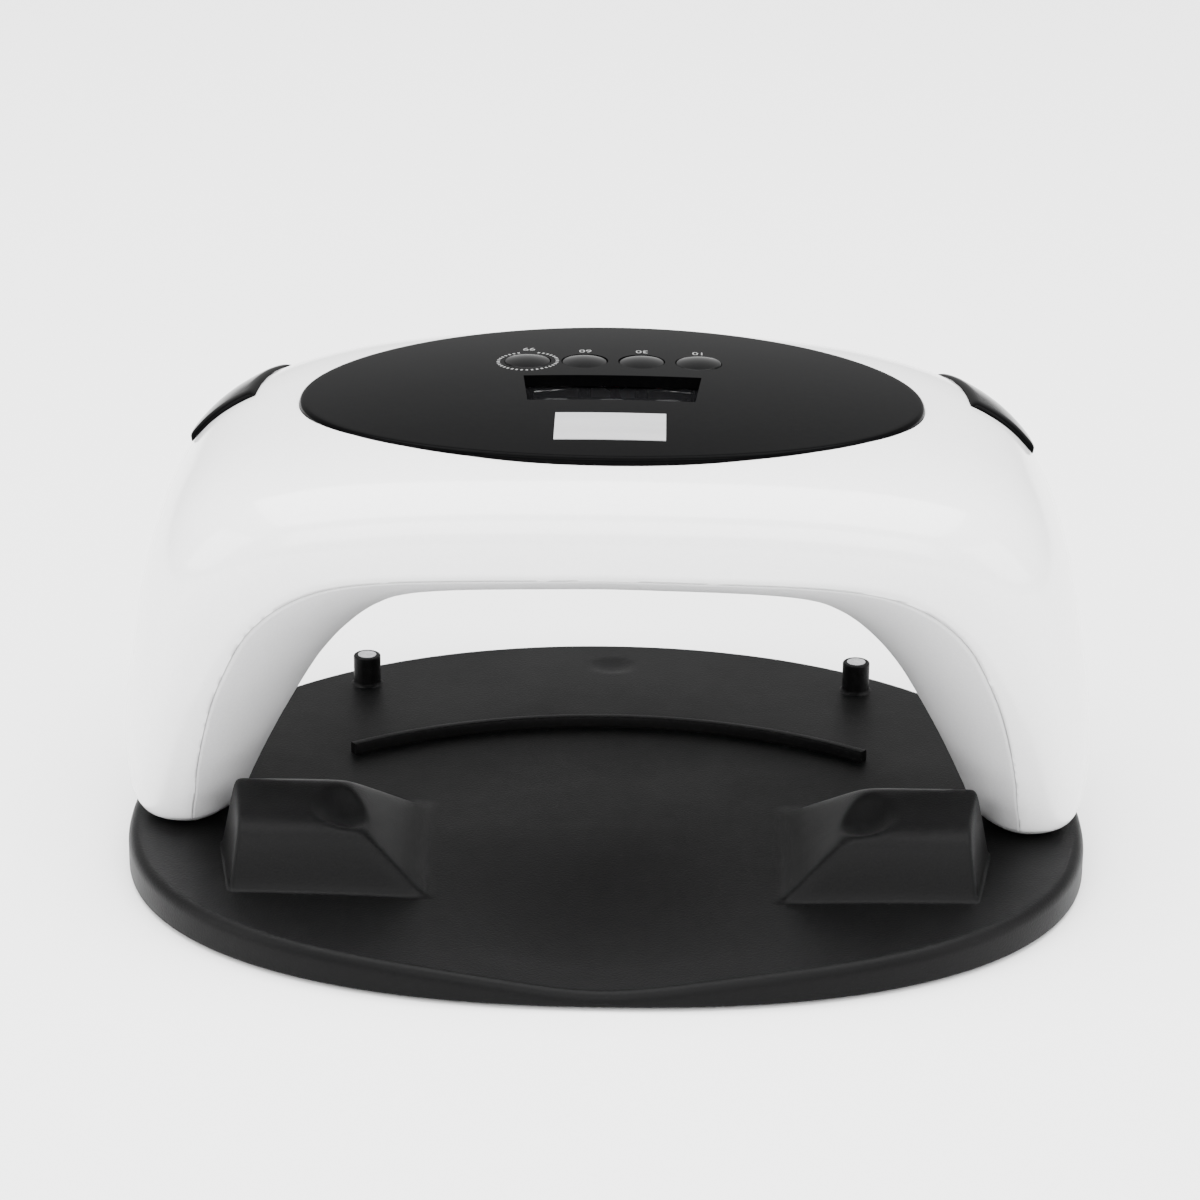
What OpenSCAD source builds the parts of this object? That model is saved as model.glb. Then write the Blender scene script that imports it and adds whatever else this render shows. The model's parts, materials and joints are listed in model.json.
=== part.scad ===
// Arch-shaped LED curing lamp for gel work, held above its removable hand base.
// Origin: centre of the footprint, on the surface that the rubber feet stand on.
// +X to the right, +Y away from the hand opening, +Z up.

/* [Base] */
// Width of the base plate
base_w = 243; // [236:1:250]
// Depth of the base plate
base_d = 205; // [200:1:210]
// Height of the base rim above its underside
base_h = 9.4; // [8.6:0.2:11]
// Height of the rubber feet
foot_h = 1.0; // [0.8:0.1:1.5]
// Diameter of the locating posts
post_d = 7.4; // [6.4:0.2:7.6]
// Height of the locating posts above the plate
post_h = 8.3; // [6.5:0.1:8.4]
// Distance of the front posts from the centre plane
post_x = 110.6; // [109.6:0.1:111.4]

/* [Lamp] */
// Gap between the lamp's feet and the base plate, seated
lift = 0.3; // [0.3:0.1:60]
// Wall of the outer shell
shell_t = 2.4; // [2:0.1:2.6]
// Wall of the inner liner
liner_t = 2.0; // [1.6:0.1:2.2]

/* [Top panel] */
// Width of the oval top panel
panel_w = 158; // [154:1:160]
// Depth of the oval top panel
panel_d = 102.6; // [100:0.2:104]
// Diameter of the push buttons
btn_d = 11.6; // [10:0.2:12]
// Distance between neighbouring buttons
btn_pitch = 14.6; // [14:0.1:15]
// Travel of the push buttons
btn_travel = 0.8; // [0.4:0.1:0.9]

/* [Hidden] */
eps = 0.01;

wide_y = -10.7;                  // line of the base's greatest width
half_w = base_w/2;
rear_d = base_d*0.552;           // depth behind that line
front_d = base_d*0.448;          // depth in front of it
post_y = -13.3;                  // front posts
rpost = [66.9, 71.4];            // rear posts
zb = foot_h;                     // underside of the base plate
zp = foot_h + base_h;            // top of the plate
zl = zp + lift;                  // underside of the lamp's feet
ly = -4;                         // the lamp's stations are measured from here

// ---- base outline and height ----
function sg(v) = v < 0 ? -1 : 1;
function spow(v, e) = sg(v)*pow(abs(v), e);
function out_pt(a, e) = let(n = sin(a) > 0 ? 2.05 : 2.34, d = sin(a) > 0 ? rear_d : front_d,
    k = 1 - e/half_w)
  [k*half_w*spow(cos(a), 2/n), wide_y + k*d*spow(sin(a), 2/n)];
function clamp(v) = v < 0 ? 0 : (v > 1 ? 1 : v);
function ease(v) = let(c = clamp(v)) c*c*(3 - 2*c);
// the plate dips towards the middle of its front edge
function dip(x, y) = 5.8*ease((-y - 20)/70)/pow(1 + pow(x/35, 2), 1.2);
function top_z(x, y) = zp - dip(x, y);
NA = 72;
function ring(e, dz, flat) = [for (i = [0:NA-1]) let(p = out_pt(360*i/NA, e))
    [p[0], p[1], flat == undef ? top_z(p[0], p[1]) + dz : flat]];
// ceiling of the hollow underside, never lower than the top of the cover
function ring_in(e) = [for (i = [0:NA-1]) let(p = out_pt(360*i/NA, e))
    [p[0], p[1], max(top_z(p[0], p[1]) - 2.4, zb + 1.7)]];
// closed solid through rings of equal length, first ring lowest
module rings_solid(R) {
  n = len(R[0]); m = len(R);
  c0 = [for (k = [0:2]) (min([for (p = R[0]) p[k]]) + max([for (p = R[0]) p[k]]))/2];
  c1 = [for (k = [0:2]) (min([for (p = R[m-1]) p[k]]) + max([for (p = R[m-1]) p[k]]))/2];
  pts = concat([for (r = R) for (p = r) p], [c0, c1]);
  polyhedron(points = pts, faces = concat(
    [for (i = [0:m-2]) for (j = [0:n-1]) let(k = (j+1)%n) [i*n+j, (i+1)*n+j, (i+1)*n+k]],
    [for (i = [0:m-2]) for (j = [0:n-1]) let(k = (j+1)%n) [i*n+j, (i+1)*n+k, i*n+k]],
    [for (j = [0:n-1]) [m*n, j, (j+1)%n]],
    [for (j = [0:n-1]) [m*n+1, (m-1)*n+(j+1)%n, (m-1)*n+j]]));
}
base_screw = [[-84, -44], [84, -44], [-92, 26], [92, 26], [-36, 80], [36, 80]];
feet = [[-97, -14], [97, -14], [-60, 62], [60, 62], [-62, -74], [62, -74]];

// thumb rest block, on the -X side
mound = [[-91, -59.8, 0, 0.8], [-47, -59.8, 0, 0.8], [-45.5, -9, 0, 0.8], [-86, -9, 0, 0.8],
  [-95.5, -34, 0, 0.8], [-89.6, -53.6, 13, 1.6], [-59.4, -53.4, 13.6, 1.6],
  [-63.5, -33, 15, 1.6], [-67.5, -33, 16.9, 1.6], [-90.5, -33, 16.9, 1.6]];
module thumb_rest() difference() {
  hull() for (v = mound) translate([v[0], v[1], zp + v[2]]) sphere(r = v[3], $fn = 16);
  // thumb dimple
  translate([-67.5, -44.6, zp + 16.3 + 14.2]) sphere(r = 17, $fn = 64);
}
module base_plate() color([0.07, 0.07, 0.075]) difference() {
  union() {
    rings_solid([ring(0.6, 0, zb), ring(0, 0, zb + 0.7), ring(0, -3), ring(0.4, -1.5), ring(1.5, -0.4),
      ring(3, 0), ring(12, 0), ring(26, 0), ring(42, 0), ring(60, 0), ring(85, 0)]);
    thumb_rest();
    mirror([1, 0, 0]) thumb_rest();
    // curved finger stop
    translate([0, -73, zp - 0.5]) rotate([0, 0, 55]) rotate_extrude(angle = 70, $fn = 180)
      translate([115.8, 0]) square([2.6, 3.5]);
    for (s = [-1, 1]) {
      translate([s*post_x, post_y, zp - 1]) cylinder(d = post_d, h = post_h + 1, $fn = 48);
      translate([s*rpost[0], rpost[1], zp - 1]) cylinder(d = post_d, h = post_h + 1, $fn = 48);
    }
  }
  // hollow underside, closed by the cover
  difference() {
    rings_solid([ring(3.4, 0, zb - 1), ring(3.4, 0, zb + 2.4), ring_in(5), ring_in(14), ring_in(30),
      ring_in(50), ring_in(80)]);
    for (p = base_screw) translate([p[0], p[1], zb + 1.6]) cylinder(d = 6.4, h = base_h, $fn = 32);
  }
  for (p = base_screw) translate([p[0], p[1], zb - 1]) cylinder(d = 2.7, h = 7.2, $fn = 32);
  // pockets of the post magnets
  for (s = [-1, 1]) {
    translate([s*post_x, post_y, zp + post_h - 2]) cylinder(d = 5.1, h = 3, $fn = 48);
    translate([s*rpost[0], rpost[1], zp + post_h - 2]) cylinder(d = 5.1, h = 3, $fn = 48);
  }
  // shallow finger notch at the rear
  translate([0, 86, zp + 19.2]) sphere(r = 20, $fn = 64);
}
module base_cover() color([0.1, 0.1, 0.105]) difference() {
  translate([0, 0, zb]) linear_extrude(1.5)
    polygon([for (i = [0:NA-1]) out_pt(360*i/NA, 3.7)]);
  for (p = base_screw) translate([p[0], p[1], 0]) {
    cylinder(d = 2.9, h = 6, $fn = 32);
    cylinder(d = 5.2, h = zb + 0.9, $fn = 32);
  }
}
module base_screws() color([0.6, 0.6, 0.62]) for (p = base_screw) translate([p[0], p[1], zb]) {
  translate([0, 0, 0.1]) difference() {
    cylinder(d = 4.8, h = 0.8, $fn = 32);
    translate([-1.5, -0.25, -1]) cube([3, 0.5, 1.4]);
    translate([-0.25, -1.5, -1]) cube([0.5, 3, 1.4]);
  }
  translate([0, 0, 0.9 - eps]) cylinder(d = 2.6, h = 5, $fn = 32);
}
module base_feet() color([0.16, 0.16, 0.17]) for (p = feet) translate([p[0], p[1], 0]) {
  cylinder(r1 = 6.6, r2 = 7, h = 0.4, $fn = 48);
  translate([0, 0, 0.4]) cylinder(r = 7, h = foot_h - 0.4, $fn = 48);
}
module post_magnets() color([0.8, 0.8, 0.82]) for (s = [-1, 1]) for (p = [[post_x, post_y], rpost])
  translate([s*p[0], p[1], zp + post_h - 2]) cylinder(d = 5, h = 2.05, $fn = 48);

// ---- lamp head ----
// Stations along the arch, from a foot to the middle of the top. Columns: outer x and z, inner x and z,
// place of the front edge between them, front y, rear y, y of the crest, y of the waist,
// roundness of the front and of the rear outer face. Heights are above the feet.
ST = [
 [116.5, 0.0,  96.5, 0.0, .50, -18.0, 12.0, -3.0, -1.0, 2.4, 2.3],
 [119.8, 2.0,  93.5, 2.0, .50, -21.0, 16.0, -2.0,  0.0, 2.4, 2.3],
 [122.0, 8.0,  90.5, 8.0, .50, -23.5, 19.0, -1.0,  2.0, 2.4, 2.3],
 [122.8,18.0,  85.5,18.0, .54, -27.0, 24.0,  1.0,  4.0, 2.5, 2.4],
 [122.0,32.0,  78.5,30.5, .58, -32.0, 32.0,  4.0,  6.0, 2.6, 2.4],
 [119.6,48.0,  71.0,42.0, .60, -37.5, 42.0,  7.0,  8.0, 2.7, 2.5],
 [116.8,64.0,  62.5,51.0, .60, -42.0, 54.0, 10.0, 10.0, 2.8, 2.6],
 [112.0,79.0,  52.5,58.0, .57, -45.5, 66.0, 13.0, 12.0, 2.9, 2.6],
 [102.5,91.0,  41.5,62.5, .52, -48.0, 77.0, 16.0, 13.0, 3.0, 2.7],
 [ 86.0,98.8,  30.0,64.5, .46, -49.5, 85.0, 18.0, 14.0, 3.2, 2.8],
 [ 60.0,103.2, 18.0,65.4, .42, -50.3, 90.0, 20.0, 14.0, 3.4, 3.0],
 [ 30.0,104.8,  9.0,65.8, .41, -50.8, 93.0, 20.0, 14.0, 3.5, 3.2],
 [  0.0,105.3,  0.0,66.0, .41, -51.0, 94.0, 20.0, 14.0, 3.5, 3.2]];
NS = len(ST);
function dv(k, i) = i == 0 ? ST[1][k] - ST[0][k]
  : i == NS-1 ? ((k == 0 || k == 2) ? ST[i][k] - ST[i-1][k] : 0)
  : let(a = ST[i][k] - ST[i-1][k], b = ST[i+1][k] - ST[i][k]) a*b <= 0 ? 0 : 2*a*b/(a+b);
// smooth station at any place u from 0 to 12
function stn(u) = let(i = min(floor(u), NS-2), f = u - i,
    a = 2*f*f*f - 3*f*f + 1, b = f*f*f - 2*f*f + f, c = 3*f*f - 2*f*f*f, d = f*f*f - f*f)
  [for (k = [0:10]) a*ST[i][k] + b*dv(k, i) + c*ST[i+1][k] + d*dv(k, i+1)];
function pz(v, e) = pow(v < 0 ? 0 : v, e);
// y and relative depth of the closed section at angle g:
// 0 front edge, 90 crest, 180 rear edge, -90 or 270 waist
function yt(s, g) =
  g < 0 ? [s[8] - (s[8]-s[5])*pz(cos(-g), 2/1.9), s[4] - s[4]*pz(sin(-g), 2/1.9)]
  : g <= 90 ? [s[7] - (s[7]-s[5])*pz(cos(g), 2/s[9]), s[4] + (1-s[4])*pz(sin(g), 2/s[9])]
  : g <= 180 ? [s[7] + (s[6]-s[7])*pz(-cos(g), 2/s[10]), s[4] + (1-s[4])*pz(sin(g), 2/s[10])]
  : [s[8] + (s[6]-s[8])*pz(-cos(g), 1), s[4] - s[4]*pz(-sin(g), 1)];
function lp(s, g, off) = let(
    dx = s[0]-s[2], dz = s[1]-s[3], L = sqrt(dx*dx + dz*dz),
    p = yt(s, g), q = yt(s, g - 1), r = yt(s, g + 1),
    ty = r[0]-q[0], tt = (r[1]-q[1])*L, n = sqrt(ty*ty + tt*tt),
    y = p[0] + off*(-tt/n), t = p[1]*L + off*(ty/n))
  [s[2] + dx*t/L, y, s[3] + dz*t/L];
// point of the lamp: v from -12 (left foot) to 12 (right foot), section angle g, offset outwards
function P(v, g, off) = let(s = stn(12 - abs(v)), p = lp(s, g, off)) [sg(v)*p[0], p[1] + ly, p[2] + zl];

// closed band between two grids of points, A outside and B inside
module band(A, B) {
  m = len(A); n = len(A[0]); o = m*n;
  polyhedron(points = concat([for (r = A) for (p = r) p], [for (r = B) for (p = r) p]),
    faces = concat(
    [for (i = [0:m-2]) for (j = [0:n-2]) [i*n+j, (i+1)*n+j+1, (i+1)*n+j]],
    [for (i = [0:m-2]) for (j = [0:n-2]) [i*n+j, i*n+j+1, (i+1)*n+j+1]],
    [for (i = [0:m-2]) for (j = [0:n-2]) [o+i*n+j, o+(i+1)*n+j, o+(i+1)*n+j+1]],
    [for (i = [0:m-2]) for (j = [0:n-2]) [o+i*n+j, o+(i+1)*n+j+1, o+i*n+j+1]],
    [for (i = [0:m-2]) [i*n, (i+1)*n, o+(i+1)*n]],
    [for (i = [0:m-2]) [i*n, o+(i+1)*n, o+i*n]],
    [for (i = [0:m-2]) [i*n+n-1, o+(i+1)*n+n-1, (i+1)*n+n-1]],
    [for (i = [0:m-2]) [i*n+n-1, o+i*n+n-1, o+(i+1)*n+n-1]],
    [for (j = [0:n-2]) [j, o+j+1, j+1]], [for (j = [0:n-2]) [j, o+j, o+j+1]],
    [for (j = [0:n-2]) let(a = (m-1)*n+j) [a, a+1, o+a+1]],
    [for (j = [0:n-2]) let(a = (m-1)*n+j) [a, o+a+1, o+a]]));
}
vs = [for (i = [-22:22]) i/2];                 // rings from foot to foot
q1 = [0, 1, 3, 6, 10, 16, 24, 34, 46, 60, 75, 90];
g_shell = concat([-10, -6, -3, -1], q1, [for (i = [10:-1:0]) 180 - q1[i]], [181, 183, 186, 190]);
g_liner = concat([190.7, 200, 212, 226, 242, 258, 270], [for (g = [-80, -68, -55, -42, -30, -20, -10.7]) 360 + g]);
function gw(g) = g > 270 ? g - 360 : g;

// oval in plan about the panel's centre
pcx = 0; pcy = 15;
function oval(a, b, n) = [for (i = [0:n-1]) [a*cos(360*i/n), pcy + b*sin(360*i/n)]];
// seat of the panel in the shell and the panel's domed top
function seat(x) = zl + 101.6 - 0.0004*x*x;
function dome(x, y) = zl + 106.3 - 0.00069*x*x - 0.0006*(y-pcy)*(y-pcy);
function oring(a, b, top, dz) = [for (p = oval(a, b, 64)) [p[0], p[1],
  (top == 1 ? dome(p[0], p[1]) : top == 0 ? seat(p[0]) : zl + 125) + dz]];
aper_a = panel_w/2 - 6; aper_b = panel_d/2 - 6;

module outer_shell() color([0.93, 0.93, 0.94]) difference() {
  union() {
    difference() {
      band([for (v = vs) [for (g = g_shell) P(v, g, 0)]], [for (v = vs) [for (g = g_shell) P(v, g, -shell_t)]]);
      // rebate for the panel, and the opening below it
      rings_solid([oring(panel_w/2 + 0.15, panel_d/2 + 0.15, 0, 0), oring(panel_w/2 + 0.15, panel_d/2 + 0.15, 2, 0)]);
      translate([0, 0, zl + 88]) linear_extrude(40) polygon(oval(aper_a, aper_b, 64));
    }
    // pillars for the liner's screws
    for (p = lscrew) translate([p[0], p[1], zl + p[2] + 3.3]) cylinder(d = 6, h = p[3] - p[2] - 3.3, $fn = 32);
    // flat boss of the power inlet
    translate([0, 76, zl + 90]) rotate([-90, 0, 0]) cylinder(d = 13, h = 12, $fn = 48);
  }
  for (p = lscrew) translate([p[0], p[1], zl + p[2] + 3]) cylinder(d = 2.2, h = 9, $fn = 32);
  // power inlet
  translate([0, 70, zl + 90]) rotate([-90, 0, 0]) cylinder(d = 8.1, h = 30, $fn = 48);
  translate([0, 87.4, zl + 90]) rotate([-90, 0, 0]) cylinder(d = 14, h = 10, $fn = 48);
  // room for the inlet's nut
  translate([0, 66, zl + 90]) rotate([-90, 0, 0]) cylinder(d = 12.4, h = 13, $fn = 48);
}
// liner screws: x, y, height of the screw's seat, height where the pillar meets the shell
lscrew = [[-26, -41, 74.0, 99.85], [26, -41, 74.0, 99.85], [-26, 69, 73.4, 100.6], [26, 69, 73.4, 100.6]];
pillar = [[-40, 0], [40, 0], [-40, 35], [40, 35]];
led_xy = [for (x = [-28, -14, 0, 14, 28]) for (y = [-8, 10, 28]) [x, y]];
// side lamps: place on the leg's inner face and its slope
side_at = [80.6, 2, 27.5]; side_tilt = 59;
side_step = [-9.5, 0, 9.5];
module on_side(s) mirror([s < 0 ? 1 : 0, 0, 0]) translate([side_at[0], side_at[1], zl + side_at[2]]) rotate([0, side_tilt, 0]) children();

module inner_liner() color([0.86, 0.86, 0.87]) difference() {
  union() {
    band([for (v = vs) [for (g = g_liner) P(v, gw(g), 0)]], [for (v = vs) [for (g = g_liner) P(v, gw(g), -liner_t)]]);
    for (p = pillar) translate([p[0], p[1], zl + 64.6]) cylinder(d = 6, h = 23.4, $fn = 32);
    for (p = lscrew) translate([p[0], p[1], zl + p[2] - 1.6]) cylinder(d = 8, h = 4.6, $fn = 32);
  }
  for (p = pillar) translate([p[0], p[1], zl + 76]) cylinder(d = 2.2, h = 14, $fn = 32);
  for (p = lscrew) translate([p[0], p[1], 0]) {
    translate([0, 0, zl + 60]) cylinder(d = 5.4, h = p[2] - 60 + 1.4, $fn = 32);
    translate([0, 0, zl + 60]) cylinder(d = 2.8, h = 30, $fn = 32);
  }
  for (p = led_xy) translate([p[0], p[1], zl + 60]) cylinder(d = 5.6, h = 12, $fn = 32);
  for (x = [-7, 7]) translate([x, 1, zl + 60]) cylinder(d = 4.6, h = 12, $fn = 32);
  for (s = [-1, 1]) on_side(s) for (k = side_step) translate([k, 0, -8]) cylinder(d = 5.6, h = 16, $fn = 32);
}
module liner_screws() color([0.7, 0.7, 0.72]) for (p = lscrew) translate([p[0], p[1], zl + p[2]]) {
  difference() {
    translate([0, 0, 0.1]) cylinder(d = 5, h = 1.3, $fn = 32);
    translate([-1.6, -0.3, -1]) cube([3.2, 0.6, 1.7]);
    translate([-0.3, -1.6, -1]) cube([0.6, 3.2, 1.7]);
  }
  translate([0, 0, 1.4 - eps]) cylinder(d = 2.1, h = 9, $fn = 32);
}
gc = [for (i = [0:27]) i < 7 ? -90 + 90*i/7 : i < 14 ? 90*(i-7)/7 : i < 21 ? 90 + 90*(i-14)/7 : 180 + 90*(i-21)/7];
function cap_ring(u, off) = [for (g = gc) let(p = lp(stn(u), g, off)) [-p[0], p[1] + ly, p[2] + zl]];
module foot_cap() difference() {
  rings_solid([cap_ring(0, -0.5), cap_ring(0.15, 0), cap_ring(0.5, 0), cap_ring(0.94, 0),
    cap_ring(0.95, -2.7), cap_ring(1.6, -2.7), cap_ring(2.4, -2.7)]);
  // socket of the locating post
  translate([-post_x, post_y, zl - 1]) cylinder(d = post_d + 1.2, h = 9.6, $fn = 48);
  // pocket of the magnet
  translate([-post_x, post_y, zl + 8.6 - eps]) cylinder(d = 5.1, h = 2.2, $fn = 48);
}
module foot_caps() color([0.9, 0.9, 0.91]) { foot_cap(); mirror([1, 0, 0]) foot_cap(); }
module foot_magnets() color([0.8, 0.8, 0.82]) for (s = [-1, 1])
  translate([s*post_x, post_y, zl + 8.7]) cylinder(d = 5, h = 2, $fn = 48);

// ---- top panel ----
win_x = 22.6; win_y = [2.4, 21.4];
btn_y = 33.4;
btn_x = [-1.5, -0.5, 0.5, 1.5];
btn_z = 105.4;
module top_panel() color([0.03, 0.03, 0.035]) difference() {
  rings_solid([oring(panel_w/2, panel_d/2, 0, 0.02), oring(panel_w/2, panel_d/2, 1, -3.0 + 0.75),
    oring(panel_w/2 - 0.35, panel_d/2 - 0.35, 1, -0.22), oring(panel_w/2 - 1, panel_d/2 - 1, 1, 0), oring(60, 38, 1, 0), oring(35, 22, 1, 0), oring(12, 8, 1, 0)]);
  // hollow underside
  rings_solid([oring(aper_a - 1, aper_b - 1, 0, -5), oring(aper_a - 1, aper_b - 1, 1, -3), oring(50, 32, 1, -3), oring(20, 14, 1, -3)]);
  // button holes
  for (k = btn_x) translate([k*btn_pitch, btn_y, zl + 90]) cylinder(d = btn_d + 0.4, h = 30, $fn = 64);
  // display recess with sloped ends
  translate([0, 0, zl + 98]) linear_extrude(20) polygon([[-win_x, win_y[1]], [-win_x + 1.6, win_y[0]],
    [win_x - 1.6, win_y[0]], [win_x, win_y[1]]]);
  // seat of the badge
  translate([-13.9, -25.1, zl + 104.3]) cube([27.8, 18.2, 5]);
}
module display_window() color([0.05, 0.05, 0.06, 0.8]) translate([0, 0, zl + 101.4]) linear_extrude(1.2)
  polygon([[-win_x - 1.4, win_y[1] + 1.4], [-win_x - 1.4, win_y[0] - 1.4], [win_x + 1.4, win_y[0] - 1.4], [win_x + 1.4, win_y[1] + 1.4]]);
module display_module() color([0.2, 0.2, 0.21]) translate([0, 12, zl + 89.7]) {
  translate([-19, -8, 0]) cube([38, 16, 11]);
  for (x = [-14, 0, 14]) translate([x - 4.5, -6.5, 11 - eps]) cube([9, 13, 0.15]);
}
module badge_plate() color([0.8, 0.8, 0.81]) {
  // thin plate that follows the domed top
  xs = [for (i = [0:8]) -13.7 + 27.4*i/8]; ys = [for (j = [0:6]) -24.9 + 17.8*j/6];
  band([for (x = xs) [for (y = ys) [x, y, dome(x, y) + 0.1]]],
    [for (x = xs) [for (y = ys) [x, y, zl + 104.3 + eps]]]);
}
module vent_cover() {
  gs = [for (i = [0:8]) 98 + 38*i/8]; us = [for (i = [0:6]) 12 - (7.55 + 1.15*i/6)];
  band([for (v = us) [for (g = gs) P(v, g, 1.7)]], [for (v = us) [for (g = gs) P(v, g, 0.12)]]);
}
module vent_cover_left() color([0.03, 0.03, 0.035]) mirror([1, 0, 0]) vent_cover();
module vent_cover_right() color([0.03, 0.03, 0.035]) vent_cover();

module button(k) color([0.03, 0.03, 0.035]) translate([k*btn_pitch, btn_y, 0]) intersection() {
  union() {
    translate([0, 0, zl + 94.4 + btn_travel]) cylinder(d = 3.4, h = 6.8 - btn_travel, $fn = 32);
    translate([0, 0, zl + 101]) cylinder(d = btn_d + 2, h = 1.2, $fn = 64);
    translate([0, 0, zl + 101]) cylinder(d = btn_d, h = 8, $fn = 64);
  }
  translate([0, 0, zl + btn_z + 1.3 - 19]) sphere(r = 19, $fn = 96);
}
module button_low_heat() button(btn_x[0]);
module button_60s() button(btn_x[1]);
module button_30s() button(btn_x[2]);
module button_10s() button(btn_x[3]);
module tact_switches() color([0.35, 0.35, 0.36]) for (k = btn_x) translate([k*btn_pitch, btn_y, zl + 89.6]) {
  translate([-3, -3, 0]) cube([6, 6, 3.4]);
  cylinder(d = 3.4, h = 4.6, $fn = 32);
}
module control_board() color([0.1, 0.3, 0.15]) difference() {
  translate([-45, -6, zl + 88]) cube([90, 48, 1.6]);
  for (p = pillar) translate([p[0], p[1], zl + 80]) cylinder(d = 2.6, h = 20, $fn = 32);
}
module board_screws() color([0.7, 0.7, 0.72]) for (p = pillar) translate([p[0], p[1], zl + 89.6]) {
  difference() {
    cylinder(d = 4.6, h = 1.5, $fn = 32);
    translate([-1.5, -0.25, 0.7]) cube([3, 0.5, 2]);
    translate([-0.25, -1.5, 0.7]) cube([0.5, 3, 2]);
  }
  translate([0, 0, -8]) cylinder(d = 2.1, h = 8 + eps, $fn = 32);
}

// ---- light sources ----
module led_board_top() color([0.75, 0.76, 0.77]) translate([-33, -14, zl + 71]) cube([66, 48, 1.6]);
module side_board() translate([-16, -6, 5.6]) cube([32, 12, 1.6]);
module led_board_left() color([0.75, 0.76, 0.77]) on_side(-1) side_board();
module led_board_right() color([0.75, 0.76, 0.77]) on_side(1) side_board();
module emitter(h) { cylinder(d = 5, h = h - 1, $fn = 32); translate([0, 0, h - 1 - eps]) cylinder(r1 = 2.2, r2 = 1.2, h = 1, $fn = 32); }
module led_emitters_top() color([0.95, 0.93, 0.75]) for (p = led_xy) translate([p[0], p[1], zl + 71]) mirror([0, 0, 1]) emitter(4.6);
module led_emitters_left() color([0.95, 0.93, 0.75]) on_side(-1) for (k = side_step) translate([k, 0, 5.6]) mirror([0, 0, 1]) emitter(4.6);
module led_emitters_right() color([0.95, 0.93, 0.75]) on_side(1) for (k = side_step) translate([k, 0, 5.6]) mirror([0, 0, 1]) emitter(4.6);
module hand_sensors() color([0.1, 0.05, 0.08]) for (x = [-7, 7]) translate([x, 1, zl + 67]) cylinder(d = 4, h = 4, $fn = 32);

// ---- power inlet and inner leads ----
module dc_jack() color([0.08, 0.08, 0.085]) translate([0, 0, zl + 90]) rotate([-90, 0, 0]) difference() {
  union() {
    translate([0, 0, 68]) cylinder(d = 7.9, h = 19.2, $fn = 48);
    translate([0, 0, 87.4]) cylinder(d = 11, h = 1.4, $fn = 48);
    translate([0, 0, 87]) cylinder(d = 7.9, h = 1, $fn = 48);
  }
  translate([0, 0, 78]) cylinder(d = 5.6, h = 20, $fn = 48);
}
module jack_nut() color([0.75, 0.75, 0.77]) translate([0, 0, zl + 90]) rotate([-90, 0, 0]) difference() {
  translate([0, 0, 76.6]) cylinder(d = 12, h = 2.2, $fn = 6);
  translate([0, 0, 70]) cylinder(d = 7.95, h = 12, $fn = 48);
}
// tube of 8 sides along a route
function unit(v) = v/norm(v);
function tang(r, i) = unit(r[min(i+1, len(r)-1)] - r[max(i-1, 0)]);
module tube(r, d) {
  pts = [for (i = [0:len(r)-1]) let(t = tang(r, i), a = unit(cross(t, abs(t[2]) > 0.8 ? [1, 0, 0] : [0, 0, 1])), b = cross(t, a))
    [for (k = [0:7]) r[i] + d/2*(cos(45*k)*a + sin(45*k)*b)]];
  n = 8; m = len(r);
  polyhedron(points = [for (q = pts) for (p = q) p], faces = concat(
    [for (i = [0:m-2]) for (j = [0:7]) let(k = (j+1)%8) [i*n+j, (i+1)*n+j, (i+1)*n+k]],
    [for (i = [0:m-2]) for (j = [0:7]) let(k = (j+1)%8) [i*n+j, (i+1)*n+k, i*n+k]],
    [[for (j = [0:7]) j]], [[for (j = [0:7]) (m-1)*n + 7 - j]]));
}
function bez(a, b, c, d, n) = [for (i = [0:n]) let(t = i/n, s = 1-t) s*s*s*a + 3*s*s*t*b + 3*s*t*t*c + t*t*t*d];
module power_lead() color([0.5, 0.1, 0.1])
  tube(bez([0, 67.9, zl + 90], [0, 58, zl + 90], [0, 50, zl + 86], [8, 38, zl + 85.2], 12), 2.6);
module lead(s) tube(bez([s*36, 20, zl + 86.4], [s*60, 20, zl + 86], [s*93, 5, zl + 58], [s*87.7, 2, zl + 31.8], 16), 2);
module led_lead_left() color([0.2, 0.2, 0.22]) lead(-1);
module led_lead_right() color([0.2, 0.2, 0.22]) lead(1);

base_plate();
base_cover();
base_screws();
base_feet();
post_magnets();
outer_shell();
inner_liner();
liner_screws();
foot_caps();
foot_magnets();
top_panel();
display_window();
display_module();
badge_plate();
vent_cover_left();
vent_cover_right();
button_low_heat();
button_60s();
button_30s();
button_10s();
tact_switches();
control_board();
board_screws();
led_board_top();
led_board_left();
led_board_right();
led_emitters_top();
led_emitters_left();
led_emitters_right();
hand_sensors();
dc_jack();
jack_nut();
power_lead();
led_lead_left();
led_lead_right();
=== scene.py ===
import bpy, bmesh, json, math
import numpy as np
from mathutils import Matrix, Vector
from mathutils.bvhtree import BVHTree
from mathutils.interpolate import poly_3d_calc


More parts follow.
